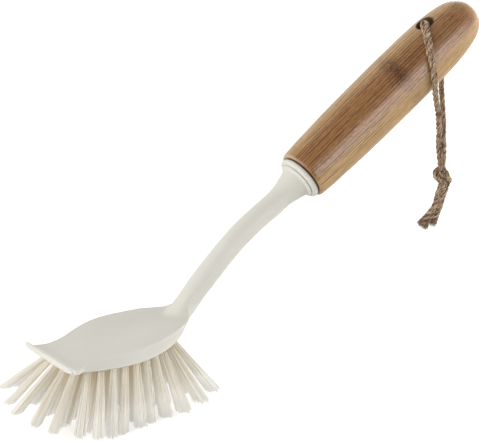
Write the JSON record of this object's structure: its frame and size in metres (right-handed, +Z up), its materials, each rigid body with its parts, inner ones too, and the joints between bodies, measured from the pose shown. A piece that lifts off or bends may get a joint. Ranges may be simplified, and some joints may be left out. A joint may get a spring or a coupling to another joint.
{
  "type": "pot brush",
  "caption": "Pot brush with a turned bamboo handle, a curved plastic neck, an oval head with a scraper lip and fanned bristle tufts, and a knotted twine loop for hanging.",
  "frame": {"origin": "on the floor under the middle of the box around the brush without its cord, the brush standing level on its bristle tips", "axes": "+X from the scraper lip towards the handle end, +Z up, Y across; y = 0 divides the brush into two like halves"},
  "size_m": [0.244, 0.057, 0.1498],
  "materials": {
    "plastic": "satin cream moulded plastic",
    "bamboo": "turned bamboo, fine grain, clear satin lacquer",
    "bristle": "cream filaments, trimmed",
    "strip": "bare flat wire",
    "twine": "twisted natural jute"
  },
  "bodies": {
    "brush": {"head_and_neck": "plastic", "handle": "bamboo", "bristles_outer_left": "bristle", "bristles_outer_right": "bristle", "bristles_inner_ring": "bristle", "bristles_centre_row": "bristle", "tuft_anchor_01": "strip", "tuft_anchor_02": "strip", "tuft_anchor_03": "strip", "tuft_anchor_04": "strip", "tuft_anchor_05": "strip", "tuft_anchor_06": "strip", "tuft_anchor_07": "strip", "tuft_anchor_08": "strip", "tuft_anchor_09": "strip", "tuft_anchor_10": "strip", "tuft_anchor_11": "strip", "tuft_anchor_12": "strip", "tuft_anchor_13": "strip", "tuft_anchor_14": "strip", "tuft_anchor_15": "strip", "tuft_anchor_16": "strip", "tuft_anchor_17": "strip", "tuft_anchor_18": "strip", "tuft_anchor_19": "strip", "tuft_anchor_20": "strip", "tuft_anchor_21": "strip", "tuft_anchor_22": "strip", "tuft_anchor_23": "strip", "tuft_anchor_24": "strip", "tuft_anchor_25": "strip", "tuft_anchor_26": "strip", "tuft_anchor_27": "strip", "tuft_anchor_28": "strip", "tuft_anchor_29": "strip", "tuft_anchor_30": "strip", "tuft_anchor_31": "strip", "tuft_anchor_32": "strip", "tuft_anchor_33": "strip", "tuft_anchor_34": "strip", "tuft_anchor_35": "strip", "tuft_anchor_36": "strip", "tuft_anchor_37": "strip", "tuft_anchor_38": "strip", "tuft_anchor_39": "strip", "tuft_anchor_40": "strip", "tuft_anchor_41": "strip", "tuft_anchor_42": "strip", "cord_over_handle": "twine"},
    "hanging_loop": {"cord_front_leg": "twine", "cord_back_leg": "twine", "cord_knot": "twine", "cord_tail_front": "twine", "cord_tail_back": "twine"}
  },
  "joints": [
    {"name": "loop_swing", "type": "hinge", "parent": "brush", "child": "hanging_loop", "pos_m": [0.08654, -0.01496, 0.12041], "axis": [-0.7567, -0.6205, 0.2059], "range_deg": [-14, 90]}
  ]
}
